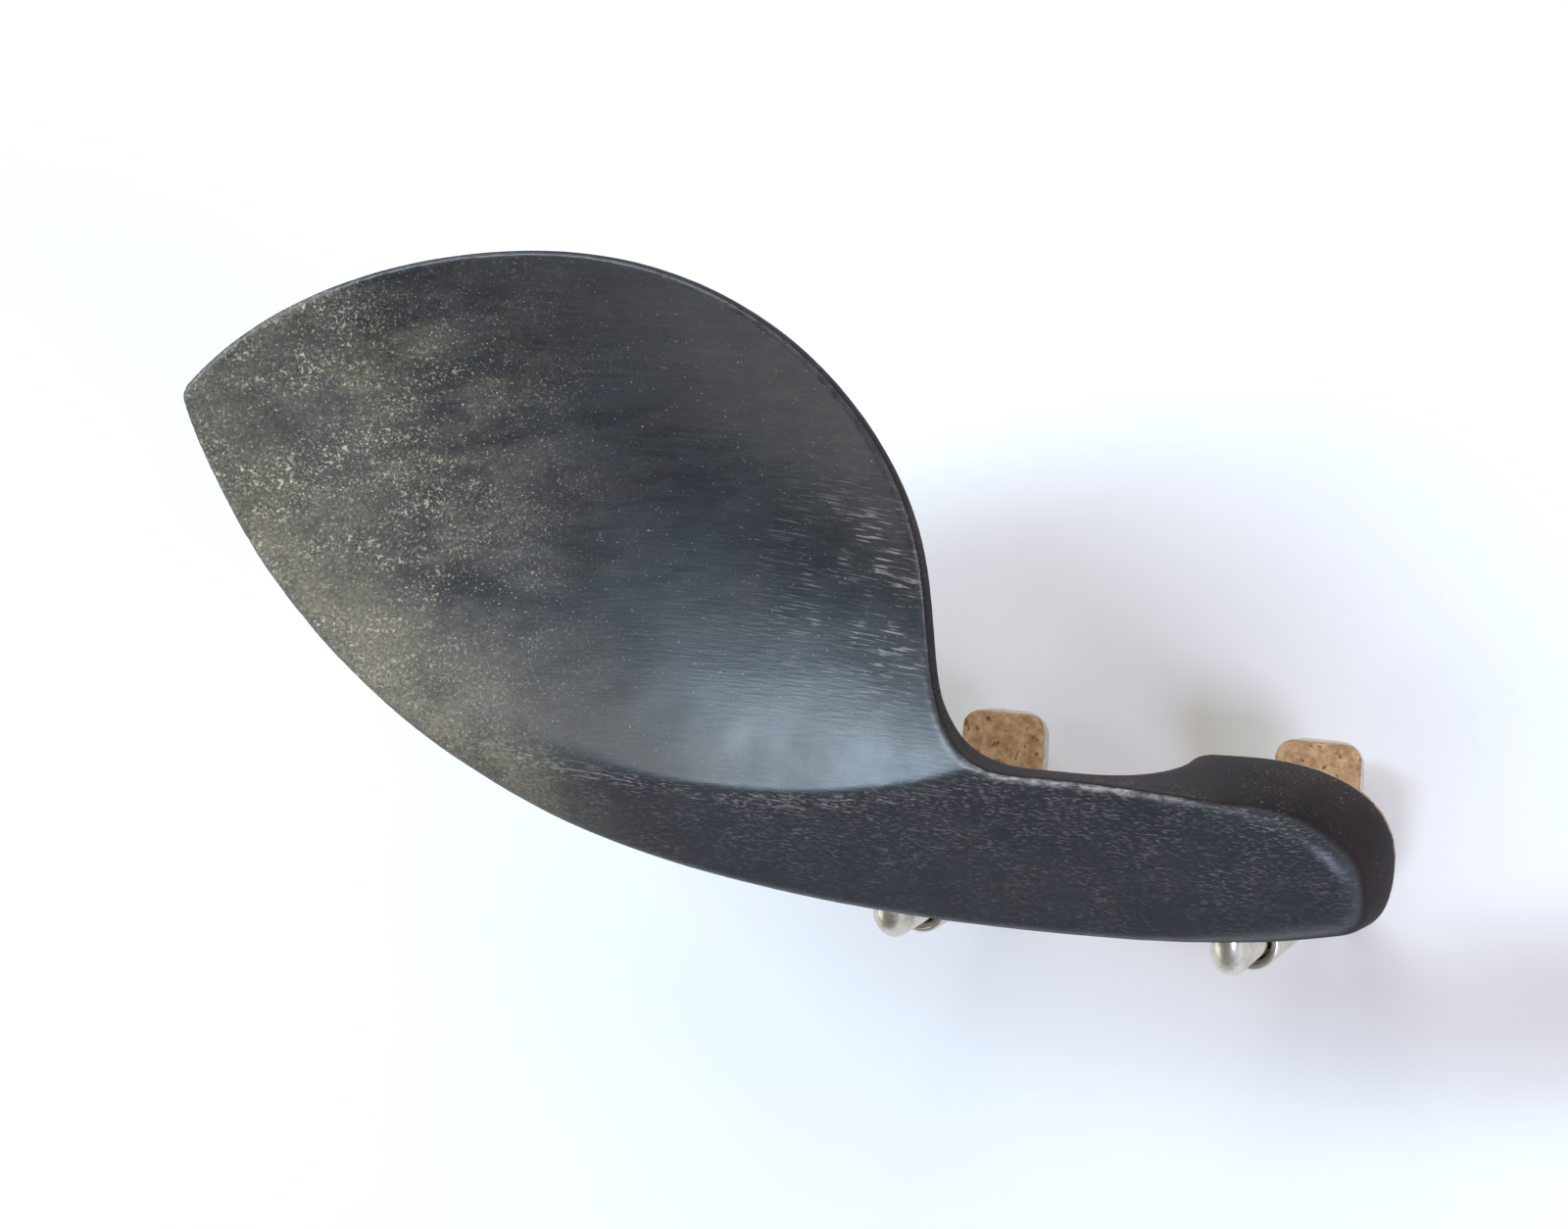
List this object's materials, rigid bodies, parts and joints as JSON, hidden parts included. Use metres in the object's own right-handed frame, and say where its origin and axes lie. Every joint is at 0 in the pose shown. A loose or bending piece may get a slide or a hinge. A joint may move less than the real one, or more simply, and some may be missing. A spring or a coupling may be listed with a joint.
{
  "type": "violin chin rest",
  "caption": "Carved ebony chin rest: side dish and arched arm on cork-lined feet, held to the edge of a violin by turnbuckle clamps.",
  "frame": {"origin": "middle of the right foot's cork face, in the plane that both feet rest on", "axes": "+X along the clamped edge towards the treble side, +Y from that edge towards the scroll, +Z out of the violin's top"},
  "size_m": [0.1304, 0.0762, 0.0709],
  "materials": {
    "ebony": "oiled ebony, satin, open pores, dusty and worn",
    "cork": null,
    "nickel": "old nickel plating, warm and slightly dulled",
    "screw_steel": "plain steel wood screws"
  },
  "bodies": {
    "rest": {"chin_plate": "ebony", "cork_pad_left": "cork", "cork_pad_right": "cork", "upper_bracket_left": "nickel", "upper_bracket_right": "nickel", "wood_screw_left_outer": "screw_steel", "wood_screw_left_inner": "screw_steel", "wood_screw_right_outer": "screw_steel", "wood_screw_right_inner": "screw_steel"},
    "turnbuckle_left": {"barrel_left": "nickel"},
    "turnbuckle_right": {"barrel_right": "nickel"},
    "hook_left": {"lower_hook_left": "nickel", "lower_cork_left": "cork"},
    "hook_right": {"lower_hook_right": "nickel", "lower_cork_right": "cork"}
  },
  "joints": [
    {"name": "barrel_left_turn", "type": "hinge", "parent": "rest", "child": "turnbuckle_left", "pos_m": [-0.0481, -0.0132, -0.02], "axis": [0, 0, 1], "range_deg": [-1450, 1090]},
    {"name": "barrel_right_turn", "type": "hinge", "parent": "rest", "child": "turnbuckle_right", "pos_m": [-0.0099, -0.0132, -0.02], "axis": [0, 0, 1], "range_deg": [-1450, 1090]},
    {"name": "hook_left_travel", "type": "slide", "parent": "rest", "child": "hook_left", "axis": [0, 0, 1], "range_m": [-0.0056, 0.0042]},
    {"name": "hook_right_travel", "type": "slide", "parent": "rest", "child": "hook_right", "axis": [0, 0, 1], "range_m": [-0.0056, 0.0042]}
  ],
  "couplings": [
    {"joint": "barrel_left_turn", "follows": "hook_left_travel", "rad_per_m": 4488},
    {"joint": "barrel_right_turn", "follows": "hook_right_travel", "rad_per_m": 4488}
  ]
}
